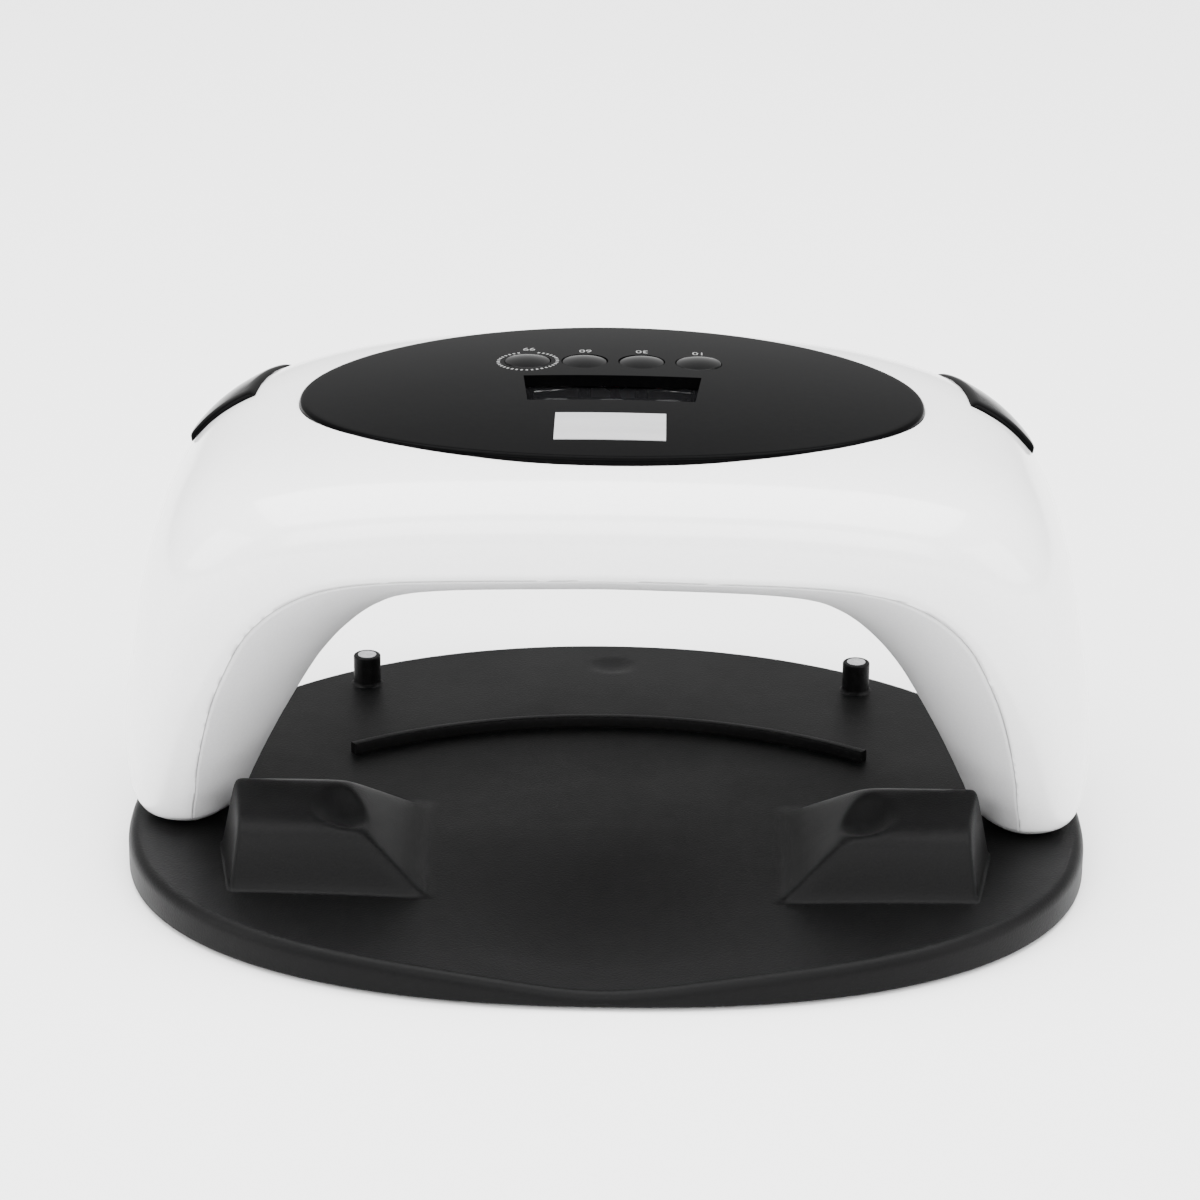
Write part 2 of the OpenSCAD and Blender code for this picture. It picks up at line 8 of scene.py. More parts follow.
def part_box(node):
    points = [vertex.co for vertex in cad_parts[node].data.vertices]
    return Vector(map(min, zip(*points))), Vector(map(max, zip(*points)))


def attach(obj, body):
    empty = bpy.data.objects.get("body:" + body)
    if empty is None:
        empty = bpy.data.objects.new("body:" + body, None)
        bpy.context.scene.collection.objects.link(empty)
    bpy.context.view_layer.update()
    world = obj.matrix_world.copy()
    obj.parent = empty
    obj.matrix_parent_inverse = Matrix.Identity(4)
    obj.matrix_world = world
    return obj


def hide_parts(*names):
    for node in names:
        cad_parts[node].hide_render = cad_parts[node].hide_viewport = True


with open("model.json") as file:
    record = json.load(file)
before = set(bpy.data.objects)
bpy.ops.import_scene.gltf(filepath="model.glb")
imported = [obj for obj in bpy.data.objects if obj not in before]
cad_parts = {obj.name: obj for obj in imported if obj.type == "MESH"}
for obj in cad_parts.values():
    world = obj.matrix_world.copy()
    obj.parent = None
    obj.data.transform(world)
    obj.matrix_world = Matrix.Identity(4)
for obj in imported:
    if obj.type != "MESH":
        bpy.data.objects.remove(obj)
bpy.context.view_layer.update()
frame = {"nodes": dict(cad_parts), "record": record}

MM = 0.001
node = frame["nodes"]

# ---------------------------------------------------------------- shape of the object, in millimetres
zb, zp, lift = 1.0, 10.4, 0.3
zl = zp + lift
half_w, rear_d, front_d, wide_y = 121.5, 113.16, 91.84, -10.7
post_x, post_y, rpost, post_d, post_h = 110.6, -13.3, (66.9, 71.4), 7.4, 8.3
cosd = lambda a: math.cos(math.radians(a))
sind = lambda a: math.sin(math.radians(a))


def spow(v, e):
    return math.copysign(abs(v) ** e, v)


def out_pt(a, e):
    s = sind(a)
    n, d = (2.05, rear_d) if s > 0 else (2.34, front_d)
    k = 1 - e / half_w
    return k * half_w * spow(cosd(a), 2 / n), wide_y + k * d * spow(s, 2 / n)


def top_z(x, y):
    c = min(max((-y - 20) / 70, 0), 1)
    z = zp - 5.8 * c * c * (3 - 2 * c) / (1 + (x / 35) ** 2) ** 1.2
    d2 = x * x + (y - 86) ** 2
    if d2 < 399:
        z = min(z, zp + 19.2 - math.sqrt(400 - d2))
    return z


ST = np.array([
    [116.5, 0.0, 96.5, 0.0, .50, -18.0, 12.0, -3.0, -1.0, 2.4, 2.3],
    [119.8, 2.0, 93.5, 2.0, .50, -21.0, 16.0, -2.0, 0.0, 2.4, 2.3],
    [122.0, 8.0, 90.5, 8.0, .50, -23.5, 19.0, -1.0, 2.0, 2.4, 2.3],
    [122.8, 18.0, 85.5, 18.0, .54, -27.0, 24.0, 1.0, 4.0, 2.5, 2.4],
    [122.0, 32.0, 78.5, 30.5, .58, -32.0, 32.0, 4.0, 6.0, 2.6, 2.4],
    [119.6, 48.0, 71.0, 42.0, .60, -37.5, 42.0, 7.0, 8.0, 2.7, 2.5],
    [116.8, 64.0, 62.5, 51.0, .60, -42.0, 54.0, 10.0, 10.0, 2.8, 2.6],
    [112.0, 79.0, 52.5, 58.0, .57, -45.5, 66.0, 13.0, 12.0, 2.9, 2.6],
    [102.5, 91.0, 41.5, 62.5, .52, -48.0, 77.0, 16.0, 13.0, 3.0, 2.7],
    [86.0, 98.8, 30.0, 64.5, .46, -49.5, 85.0, 18.0, 14.0, 3.2, 2.8],
    [60.0, 103.2, 18.0, 65.4, .42, -50.3, 90.0, 20.0, 14.0, 3.4, 3.0],
    [30.0, 104.8, 9.0, 65.8, .41, -50.8, 93.0, 20.0, 14.0, 3.5, 3.2],
    [0.0, 105.3, 0.0, 66.0, .41, -51.0, 94.0, 20.0, 14.0, 3.5, 3.2]])
NS = len(ST)


def slope(k, i):
    if i == 0:
        return ST[1][k] - ST[0][k]
    if i == NS - 1:
        return ST[i][k] - ST[i - 1][k] if k in (0, 2) else 0.0
    a, b = ST[i][k] - ST[i - 1][k], ST[i + 1][k] - ST[i][k]
    return 0.0 if a * b <= 0 else 2 * a * b / (a + b)


DV = np.array([[slope(k, i) for k in range(11)] for i in range(NS)])


def stn(u):
    i = min(int(u), NS - 2)
    f = u - i
    return ((2 * f ** 3 - 3 * f * f + 1) * ST[i] + (f ** 3 - 2 * f * f + f) * DV[i]
            + (3 * f * f - 2 * f ** 3) * ST[i + 1] + (f ** 3 - f * f) * DV[i + 1])


def yt(s, g):
    pz = lambda v, e: max(v, 0.0) ** e
    if g < 0:
        return s[8] - (s[8] - s[5]) * pz(cosd(g), 2 / 1.9), s[4] - s[4] * pz(-sind(g), 2 / 1.9)
    if g <= 90:
        return s[7] - (s[7] - s[5]) * pz(cosd(g), 2 / s[9]), s[4] + (1 - s[4]) * pz(sind(g), 2 / s[9])
    if g <= 180:
        return s[7] + (s[6] - s[7]) * pz(-cosd(g), 2 / s[10]), s[4] + (1 - s[4]) * pz(sind(g), 2 / s[10])
    return s[8] + (s[6] - s[8]) * pz(-cosd(g), 1), s[4] - s[4] * pz(-sind(g), 1)


def P(v, g, off):
    s = stn(12 - abs(v))
    dx, dz = s[0] - s[2], s[1] - s[3]
    L = math.hypot(dx, dz)
    p, q, r = yt(s, g), yt(s, g - 1), yt(s, g + 1)
    ty, tt = r[0] - q[0], (r[1] - q[1]) * L
    n = math.hypot(ty, tt)
    y, t = p[0] - off * tt / n, p[1] * L + off * ty / n
    x = s[2] + dx * t / L
    return (-x if v < 0 else x, y - 4, s[3] + dz * t / L + zl)


seat = lambda x: zl + 101.6 - 0.0004 * x * x
dome = lambda x, y: zl + 106.3 - 0.00069 * x * x - 0.0006 * (y - 15) ** 2

# ---------------------------------------------------------------- mesh helpers


def mesh_obj(name, verts, faces, smooth=True):
    me = bpy.data.meshes.new(name)
    me.from_pydata([(a * MM, b * MM, c * MM) for a, b, c in verts], [], faces)
    me.validate()
    bm = bmesh.new()
    bm.from_mesh(me)
    bmesh.ops.remove_doubles(bm, verts=bm.verts, dist=1e-7)
    bmesh.ops.recalc_face_normals(bm, faces=bm.faces)
    bm.to_mesh(me)
    bm.free()
    o = bpy.data.objects.new(name, me)
    bpy.context.scene.collection.objects.link(o)
    for p in me.polygons:
        p.use_smooth = smooth
    return o


def sharpen(o, deg=38):
    bm = bmesh.new()
    bm.from_mesh(o.data)
    for e in bm.edges:
        e.smooth = not (len(e.link_faces) == 2 and e.calc_face_angle(0) > math.radians(deg))
    for f in bm.faces:
        f.smooth = True
    bm.to_mesh(o.data)
    bm.free()
    return o


def bake(o):
    dg = bpy.context.evaluated_depsgraph_get()
    me = bpy.data.meshes.new_from_object(o.evaluated_get(dg))
    o.modifiers.clear()
    old = o.data
    o.data = me
    bpy.data.meshes.remove(old)
    return o


def boolean(o, cutter, op):
    m = o.modifiers.new("b", "BOOLEAN")
    m.object, m.operation, m.solver = cutter, op, "EXACT"
    bake(o)
    bpy.data.objects.remove(cutter)
    return o


def stack(rings):
    """closed surface through rings of equal length, capped at both ends"""
    n = len(rings[0])
    verts = [p for r in rings for p in r]
    faces = [(i * n + j, i * n + (j + 1) % n, (i + 1) * n + (j + 1) % n, (i + 1) * n + j)
             for i in range(len(rings) - 1) for j in range(n)]
    for i in (0, len(rings) - 1):
        c = np.mean(rings[i], axis=0)
        k = len(verts)
        verts.append(tuple(c))
        faces += [(k, i * n + j, i * n + (j + 1) % n) for j in range(n)]
    return verts, faces


def band(A, B):
    m, n = len(A), len(A[0])
    verts = [p for r in A for p in r] + [p for r in B for p in r]
    o = m * n
    q = lambda a, b, c, d: faces.append((a, b, c, d))
    faces = []
    for i in range(m - 1):
        for j in range(n - 1):
            a = i * n + j
            q(a, a + 1, a + n + 1, a + n)
            q(o + a, o + a + n, o + a + n + 1, o + a + 1)
    for i in range(m - 1):
        for j in (0, n - 1):
            a = i * n + j
            q(a, a + n, o + a + n, o + a)
    for j in range(n - 1):
        for i in (0, m - 1):
            a = i * n + j
            q(a, o + a, o + a + 1, a + 1)
    return verts, faces


def tube_cut(name, d, h, at, axis="Z", seg=64, d2=None):
    """cylinder from at, along +axis"""
    ring = lambda z, dd: [(dd / 2 * math.cos(2 * math.pi * i / seg), dd / 2 * math.sin(2 * math.pi * i / seg), z) for i in range(seg)]
    v, f = stack([ring(0, d), ring(h, d2 or d)])
    o = mesh_obj(name, v, f, False)
    if axis == "Y":
        o.data.transform(Matrix.Rotation(math.radians(-90), 4, "X"))
    o.data.transform(Matrix.Translation(Vector(at) * MM))
    return o


def joined(name, objs):
    bm = bmesh.new()
    for o in objs:
        bm.from_mesh(o.data)
    me = bpy.data.meshes.new(name)
    bm.to_mesh(me)
    bm.free()
    for o in objs:
        bpy.data.objects.remove(o)
    r = bpy.data.objects.new(name, me)
    bpy.context.scene.collection.objects.link(r)
    return r


def lathe(name, prof, seg=96):
    """prof: list of (radius, z) from the axis out and back to the axis"""
    verts, faces = [], []
    n = len(prof)
    for i in range(seg):
        a = 2 * math.pi * i / seg
        verts += [(r * math.cos(a), r * math.sin(a), z) for r, z in prof]
    for i in range(seg):
        for j in range(n - 1):
            a, b = i * n + j, ((i + 1) % seg) * n + j
            faces.append((a, a + 1, b + 1, b))
    return mesh_obj(name, verts, faces)


def source_normals(o):
    me = o.data
    co = [v.co.copy() for v in me.vertices]
    no = [v.normal.copy() for v in me.vertices]
    po = [tuple(p.vertices) for p in me.polygons]
    return BVHTree.FromPolygons(co, po), co, no, po


def keep_normals(o, src, tol=6e-5):
    """faces that still lie on the uncut surface keep its smooth normals, so cuts leave no shading marks"""
    tree, co, no, po = src
    me = o.data
    nrm = [(0.0, 0.0, 0.0)] * len(me.loops)
    for p in me.polygons:
        loc, fn, idx, dist = tree.find_nearest(p.center)
        if loc is None or dist > tol or fn.dot(p.normal) < 0.9:
            p.use_smooth = False
            continue
        p.use_smooth = True
        for li in p.loop_indices:
            v = me.vertices[me.loops[li].vertex_index].co
            l2, f2, i2, d2 = tree.find_nearest(v)
            if d2 > tol or f2.dot(p.normal) < 0.8:
                continue
            w = poly_3d_calc([co[k] for k in po[i2]], l2)
            n = Vector((0, 0, 0))
            for k, ww in zip(po[i2], w):
                n += no[k] * ww
            if n.length > 0.2 and n.dot(p.normal) > 0.7:
                nrm[li] = tuple(n.normalized())
    me.normals_split_custom_set(nrm)
    return o


# ---------------------------------------------------------------- materials
def mat(name, dark, light, rough=(0.3, 0.36), metallic=0.0, grain=0.0, grain_mm=0.5, cloud_mm=30.0,
        wave=0.0, wave_mm=20.0, coat=0.0, coat_rough=0.03, ior=1.5, alpha=1.0, stretch=None):
    m = bpy.data.materials.new(name)
    m.use_nodes = True
    nt = m.node_tree
    N, Lk = nt.nodes, nt.links
    b = N["Principled BSDF"]
    b.inputs["Metallic"].default_value = metallic
    b.inputs["IOR"].default_value = ior
    b.inputs["Coat Weight"].default_value = coat
    b.inputs["Coat Roughness"].default_value = coat_rough
    b.inputs["Alpha"].default_value = alpha
    tc = N.new("ShaderNodeTexCoord")
    src = tc.outputs["Object"]
    if stretch:
        mp = N.new("ShaderNodeMapping")
        mp.inputs["Scale"].default_value = stretch
        Lk.new(src, mp.inputs["Vector"])
        src = mp.outputs["Vector"]

    def noise(mm, detail=3.0, rough_=0.55):
        n = N.new("ShaderNodeTexNoise")
        n.inputs["Scale"].default_value = 1000.0 / mm
        n.inputs["Detail"].default_value = detail
        n.inputs["Roughness"].default_value = rough_
        Lk.new(src, n.inputs["Vector"])
        return n.outputs["Fac"]

    cloud = noise(cloud_mm, 4.0)
    fine = noise(max(grain_mm, 0.25), 2.0)
    ramp = N.new("ShaderNodeValToRGB")
    ramp.color_ramp.elements[0].position, ramp.color_ramp.elements[0].color = 0.35, (*dark, 1)
    ramp.color_ramp.elements[1].position, ramp.color_ramp.elements[1].color = 0.65, (*light, 1)
    mixf = N.new("ShaderNodeMath")
    mixf.operation = "MULTIPLY_ADD"
    mixf.inputs[1].default_value = 0.5
    half = N.new("ShaderNodeMath")
    half.operation = "MULTIPLY"
    half.inputs[1].default_value = 0.5
    Lk.new(cloud, half.inputs[0])
    Lk.new(fine, mixf.inputs[0])
    Lk.new(half.outputs[0], mixf.inputs[2])
    Lk.new(mixf.outputs[0], ramp.inputs["Fac"])
    Lk.new(ramp.outputs["Color"], b.inputs["Base Color"])
    mr = N.new("ShaderNodeMapRange")
    mr.inputs["From Min"].default_value, mr.inputs["From Max"].default_value = 0.3, 0.7
    mr.inputs["To Min"].default_value, mr.inputs["To Max"].default_value = rough
    Lk.new(cloud, mr.inputs["Value"])
    Lk.new(mr.outputs["Result"], b.inputs["Roughness"])
    last = None
    for strength, fac, dist in ((wave, noise(wave_mm, 1.0) if wave else None, 0.02), (grain, fine if grain else None, 0.00012)):
        if not strength:
            continue
        bp = N.new("ShaderNodeBump")
        bp.inputs["Strength"].default_value = strength
        bp.inputs["Distance"].default_value = dist
        Lk.new(fac, bp.inputs["Height"])
        if last:
            Lk.new(last, bp.inputs["Normal"])
        last = bp.outputs["Normal"]
    if last:
        Lk.new(last, b.inputs["Normal"])
    return m


M = {
    "base_black": mat("base_black", (.0012, .0012, .0013), (.0020, .0020, .0021), (.42, .52), grain=.55, grain_mm=.55, cloud_mm=40, ior=1.17),
    "foot_rubber": mat("foot_rubber", (.02, .02, .021), (.035, .035, .036), (.75, .88), grain=.4, grain_mm=.4),
    "magnet_nickel": mat("magnet_nickel", (.62, .62, .63), (.78, .78, .79), (.2, .34), metallic=1, grain=.25, grain_mm=.3, cloud_mm=2),
    "screw_steel": mat("screw_steel", (.42, .42, .43), (.6, .6, .61), (.26, .4), metallic=1, grain=.2, grain_mm=.3, cloud_mm=3),
    "shell_white": mat("shell_white", (.83, .83, .835), (.87, .87, .872), (.14, .19), grain=.03, grain_mm=1.2, cloud_mm=60, coat=.6, coat_rough=.05),
    "liner_white": mat("liner_white", (.47, .47, .475), (.53, .53, .535), (.42, .5), grain=.2, grain_mm=.6, cloud_mm=50),
    "panel_black": mat("panel_black", (.0010, .0010, .0011), (.0016, .0016, .0017), (.10, .15), grain=.015, grain_mm=1.5, cloud_mm=50, ior=1.07),
    "button_black": mat("button_black", (.002, .002, .0021), (.003, .003, .0031), (.06, .1), grain=.01, grain_mm=1.0, cloud_mm=8, ior=1.16),
    "window_smoke": mat("window_smoke", (.004, .004, .0045), (.007, .007, .0075), (.04, .07), cloud_mm=20, alpha=.55, ior=1.15),
    "display_grey": mat("display_grey", (.006, .006, .0065), (.010, .010, .0105), (.45, .55), grain=.15, grain_mm=.5),
    "badge_silver": mat("badge_silver", (.36, .36, .365), (.42, .42, .425), (.4, .48), metallic=.25, grain=.2, grain_mm=.3, cloud_mm=10, stretch=(.25, 3, 1)),
    "switch_grey": mat("switch_grey", (.05, .05, .05), (.09, .09, .09), (.5, .6), grain=.2),
    "board_green": mat("board_green", (.012, .07, .028), (.022, .11, .045), (.3, .42), grain=.15, grain_mm=.8, cloud_mm=12),
    "led_board": mat("led_board", (.68, .69, .7), (.78, .79, .8), (.35, .45), grain=.1, cloud_mm=15),
    "led_lens": mat("led_lens", (.72, .62, .3), (.86, .78, .45), (.06, .12), cloud_mm=2, coat=.5),
    "sensor_dark": mat("sensor_dark", (.012, .004, .01), (.02, .008, .018), (.08, .14), cloud_mm=2),
    "jack_black": mat("jack_black", (.014, .014, .014), (.026, .026, .026), (.4, .52), grain=.3, grain_mm=.4, cloud_mm=5),
    "lead_red": mat("lead_red", (.28, .015, .012), (.4, .03, .024), (.42, .52), grain=.1, cloud_mm=5),
    "lead_dark": mat("lead_dark", (.02, .02, .022), (.035, .035, .038), (.45, .55), grain=.1, cloud_mm=5),
    "print_grey": mat("print_grey", (.13, .13, .13), (.20, .20, .20), (.5, .6), cloud_mm=3),
    "segment_grey": mat("segment_grey", (.40, .40, .405), (.50, .50, .505), (.4, .5), cloud_mm=3),
}
slot_of = {s["node"]: s["material_slot"] for s in frame["record"]["subparts"]}


def dress(o, slot, body, *nodes, m=None):
    o.data.materials.clear()
    o.data.materials.append(M[m or slot])
    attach(o, body)
    if nodes:
        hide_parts(*nodes)
    return o


for n, o in node.items():
    if o.type == "MESH":
        o.data.materials.clear()
        o.data.materials.append(M[slot_of[n]])

# ---------------------------------------------------------------- base
NA = 360
ringf = lambda e, z: [(*out_pt(360 * i / NA, e), z) for i in range(NA)]


def ringt(e, dz):
    r = []
    for i in range(NA):
        x, y = out_pt(360 * i / NA, e)
        r.append((x, y, top_z(x, y) + dz))
    return r


rings = [[(x, y, max(z, zb + 1.7)) for x, y, z in ringt(e, -2.4)] for e in (112, 90, 70, 50, 30, 14, 5)]
rings += [ringf(3.4, zb + 2.4), ringf(3.4, zb), ringf(.6, zb), ringf(.28, zb + .12), ringf(.06, zb + .4), ringf(0, zb + .7)]
rings += [ringt(3 * (1 - cosd(a)), -3 * (1 - sind(a))) for a in range(0, 91, 10)]
rings += [ringt(e, 0) for e in np.arange(3.6, 119, 1.25)]
v, f = stack(rings)
parts = [mesh_obj("base_a", v, f)]



def rest_z(u, y):
    """height of a thumb rest, u from the centre plane, rounded into the plate"""
    vals = (18.5 + .175 * (y + 33), 18.5 - .77 * (y + 33), 2.4 * (y + 60.6), 13.4 + 1.0 * (y + 54.4),
            .95 * (u - 44.9), 5.0 * (91.8 + .174 * (y + 59.8) - u), 5.0 * (96.3 - .38 * (y + 34) - u))
    h = -1.5 * math.log(sum(math.exp(-v / 1.5) for v in vals))
    s = 12.4 + ((u - 62.0) ** 2 + (y + 47.5) ** 2) / 26
    h = -.45 * math.log(math.exp(-h / .45) + math.exp(-s / .45)) if abs(h - s) < 40 else min(h, s)
    base = top_z(u, y)
    return base - .05 + .9 * math.log(1 + math.exp(max((zp + h - base) / .9, -30)))


for s in (-1, 1):
    up, dn = [], []
    for y in np.linspace(-68, -2, 133):
        edge = half_w * (1 - abs((y - wide_y) / front_d) ** 2.34) ** (1 / 2.34) - 5
        xs = np.linspace(38, min(104, edge), 180)
        up.append([(s * x, y, rest_z(x, y)) for x in xs])
        dn.append([(s * x, y, top_z(x, y) - 1.4) for x in xs])
    parts.append(sharpen(mesh_obj("rest", *band(up, dn)), 60))

# curved finger stop
A = []
prof = [(115.8, -.6), (115.8, 2.5), (115.95, 2.85), (116.3, 3.0), (117.9, 3.0), (118.25, 2.85), (118.4, 2.5), (118.4, -.6)]
for i in range(141):
    a = 55 + 70 * i / 140
    A.append([(r * cosd(a), -73 + r * sind(a), zp + z) for r, z in prof])
parts.append(sharpen(mesh_obj("rib", *stack(A)), 50))
for s in (-1, 1):
    for x, y in ((post_x, post_y), rpost):
        R = post_d / 2
        pr = [(0, post_h - 2), (2.55, post_h - 2), (2.55, post_h - .12), (2.67, post_h), (R - .45, post_h)]
        pr += [(R - .45 + .45 * sind(a), post_h - .45 + .45 * cosd(a)) for a in (22, 45, 68, 90)]
        pr += [(R, .9), (R + .1, .45), (R + .35, .12), (R + .8, -.02), (R + .8, -.6), (0, -.6)]
        o = lathe("post", pr)
        o.data.transform(Matrix.Translation(Vector((s * x, y, zp)) * MM))
        parts.append(sharpen(o, 42))
dress(joined("base_moulding", parts), "base_black", "base", "base_plate")

# ---------------------------------------------------------------- lamp shell
qs = [0, .5, 1, 2, 3, 4.5, 6, 8, 10, 13, 16, 20, 24, 29, 34, 40, 46, 53, 60, 67, 75, 82]
gs = [-10, -8, -6, -4.5, -3, -2, -1] + qs + [90] + [180 - q for q in reversed(qs)] + [181, 182, 183, 184.5, 186, 188, 190]
vs = np.linspace(-11, 11, 221)
shell = mesh_obj("shell", *band([[P(v, g, 0) for g in gs] for v in vs], [[P(v, g, -2.4) for g in gs] for v in vs]))
sharpen(shell, 45)
src = source_normals(shell)
ov = lambda a, b, z, n=160: [(a * math.cos(2 * math.pi * i / n), 15 + b * math.sin(2 * math.pi * i / n),
                              z(a * math.cos(2 * math.pi * i / n), 15 + b * math.sin(2 * math.pi * i / n))) for i in range(n)]
rebate = [ov(k * 79.15, k * 51.45, lambda x, y: seat(x)) for k in (.02, .25, .5, .75, .9, 1)] + [ov(79.15, 51.45, lambda x, y: zl + 125)]
boolean(shell, mesh_obj("c", *stack(rebate)), "DIFFERENCE")
boolean(shell, mesh_obj("c", *stack([ov(73, 45.3, lambda x, y: zl + 88), ov(73, 45.3, lambda x, y: zl + 128)])), "DIFFERENCE")
boolean(shell, tube_cut("c", 13, 12, (0, 76, zl + 90), "Y"), "UNION")
for d, h, y in ((8.1, 30, 70), (14, 10, 87.4), (12.4, 13, 66)):
    boolean(shell, tube_cut("c", d, h, (0, y, zl + 90), "Y"), "DIFFERENCE")
keep_normals(shell, src)
shell.name = "shell_skin"
dress(shell, "shell_white", "lamp", "outer_shell")

# ---------------------------------------------------------------- liner
gi = [190.7, 193, 196, 200, 205, 210, 216, 222, 229, 236, 243, 250, 257, 264, 270] + [360 + g for g in (-84, -78, -72, -66, -60, -54, -48, -42, -36, -30, -25, -20, -16, -13, -10.7)]
wrap = lambda g: g - 360 if g > 270 else g
liner = mesh_obj("liner", *band([[P(v, wrap(g), 0) for g in gi] for v in vs], [[P(v, wrap(g), -2) for g in gi] for v in vs]))
src = source_normals(liner)
cuts = [tube_cut("c", 5.6, 12, (x, y, zl + 60), seg=40) for x in (-28, -14, 0, 14, 28) for y in (-8, 10, 28)]
cuts += [tube_cut("c", 4.6, 12, (x, 1, zl + 60), seg=40) for x in (-7, 7)]
for x, y, z in ((-26, -41, 74.0), (26, -41, 74.0), (-26, 69, 73.4), (26, 69, 73.4)):
    cuts.append(tube_cut("c", 5.4, z - 58.6, (x, y, zl + 60), seg=40))
for s in (-1, 1):
    for k in (-9.5, 0, 9.5):
        o = tube_cut("c", 5.6, 16, (k, 0, -8), seg=40)
        o.data.transform(Matrix.Scale(s, 4, (1, 0, 0)) @ Matrix.Translation(Vector((80.6, 2, zl + 27.5)) * MM) @ Matrix.Rotation(math.radians(59), 4, "Y"))
        if s < 0:
            o.data.flip_normals()
        cuts.append(o)
boolean(liner, joined("c", cuts), "DIFFERENCE")
keep_normals(liner, src)
liner.name = "liner_skin"
dress(liner, "liner_white", "lamp", "inner_liner")
pil = [tube_cut("p", 6, 23.4, (x, y, zl + 64.6), seg=40) for x in (-40, 40) for y in (0, 35)]
dress(joined("liner_pillars", pil), "liner_white", "lamp")

# ---------------------------------------------------------------- feet
caps = []
for s in (-1, 1):
    gc = [i * 360 / 144 for i in range(144)]
    gw = lambda g: g - 360 if g > 270 else g
    def cap(u, off):
        r = []
        for g in gc:
            p = P(12 - u, gw(g), off)
            r.append((s * abs(p[0]), p[1], p[2]))
        return r
    v, f = stack([cap(0, -.5), cap(.04, -.28), cap(.15, 0), cap(.3, 0), cap(.5, 0), cap(.72, 0), cap(.94, 0), cap(.95, -2.7), cap(1.6, -2.7), cap(2.4, -2.7)])
    o = mesh_obj("cap", v, f)
    boolean(o, tube_cut("c", 8.6, 9.6, (s * post_x, post_y, zl - 1)), "DIFFERENCE")
    boolean(o, tube_cut("c", 5.1, 2.2, (s * post_x, post_y, zl + 8.59)), "DIFFERENCE")
    caps.append(sharpen(o, 50))
dress(joined("foot_ends", caps), slot_of["foot_caps"], "lamp", "foot_caps", m="shell_white")

# ---------------------------------------------------------------- panel
dm = lambda d: (lambda x, y: dome(x, y) + d)
rg = [ov(72, 44.3, lambda x, y: seat(x) + .02, 256), ov(79, 51.3, lambda x, y: seat(x) + .02, 256), ov(79, 51.3, dm(-1.3), 256)]
rg += [ov(79 - 1.1 * (1 - cosd(a)), 51.3 - 1.1 * (1 - cosd(a)), dm(-1.1 * (1 - sind(a))), 256) for a in range(0, 91, 15)]
rg += [ov(79 * k, 51.3 * k, dm(0), 256) for k in np.linspace(.97, .03, 40)]
under = [ov(k * 72, k * 44.3, dm(-3), 256) for k in (.03, .3, .6, .85, 1)]
v, f = stack(under + rg)
panel = mesh_obj("panel", v, f)
sharpen(panel, 40)
src = source_normals(panel)
btn_x = [-21.9, -7.3, 7.3, 21.9]
boolean(panel, joined("c", [tube_cut("c", 12, 30, (x, 33.4, zl + 90), seg=96) for x in btn_x]), "DIFFERENCE")
pr = lambda pts, z: [(x, y, z) for x, y in pts]
rec = [(-22.6, 21.4), (-21.0, 2.4), (21.0, 2.4), (22.6, 21.4)]
boolean(panel, mesh_obj("c", *stack([pr(rec, zl + 98), pr(rec, zl + 118)]), False), "DIFFERENCE")
bd = [(-13.9, -25.1), (13.9, -25.1), (13.9, -6.9), (-13.9, -6.9)]
boolean(panel, mesh_obj("c", *stack([pr(bd, zl + 104.3), pr(bd, zl + 109.3)]), False), "DIFFERENCE")
keep_normals(panel, src)
panel.name = "panel_top"
dress(panel, "panel_black", "lamp", "top_panel")

for s, n in ((-1, "vent_cover_left"), (1, "vent_cover_right")):
    g2 = [98, 98.5, 99.2] + list(np.linspace(100.5, 133.5, 30)) + [134.8, 135.5, 136]
    u2 = [7.55, 7.565, 7.59] + list(np.linspace(7.63, 8.62, 20)) + [8.66, 8.685, 8.70]
    fall = lambda d, w: 1 - (1 - min(d / w, 1)) ** 2
    A, B = [], []
    for u in u2:
        ra, rb = [], []
        for g in g2:
            h = .12 + 1.58 * math.sqrt(fall(min(u - 7.55, 8.70 - u) + .004, .07) * fall(min(g - 98, 136 - g) + .12, 2.4))
            a, b = P(12 - u, g, max(h, .5)), P(12 - u, g, .12)
            ra.append((s * abs(a[0]), a[1], a[2]))
            rb.append((s * abs(b[0]), b[1], b[2]))
        A.append(ra)
        B.append(rb)
    dress(sharpen(mesh_obj("vent_insert_" + ("l" if s < 0 else "r"), *band(A, B)), 50), "panel_black", "lamp", n)

# buttons, found by where they are
bodies = {n: b for b, ns in frame["record"]["behaviour"]["bodies"].items() for n in ns}
btns = sorted((n for n in node if n.startswith("button_")), key=lambda n: (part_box(n)[0].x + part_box(n)[1].x) / 2)
for i, n in enumerate(btns):
    R, zt = 5.8, zl + 106.7
    zd = lambda r: zt - 19 + math.sqrt(19 * 19 - r * r)
    pr_ = [(0, zl + 95.2), (1.5, zl + 95.2), (1.7, zl + 95.4), (1.7, zl + 101), (6.8, zl + 101), (6.8, zl + 102.2), (R, zl + 102.2), (R, zd(R) - .55)]
    pr_ += [(R - .4 + .4 * sind(a), zd(R - .4) - .4 + .4 * cosd(a)) for a in (75, 60, 45, 30, 15)]
    pr_ += [(r, zd(r)) for r in np.linspace(R - .5, 0, 14)]
    o = lathe("press_%d" % i, pr_, 128)
    o.data.transform(Matrix.Translation(Vector((btn_x[i], 33.4, 0)) * MM))
    dress(sharpen(o, 42), "button_black", bodies[n], n)

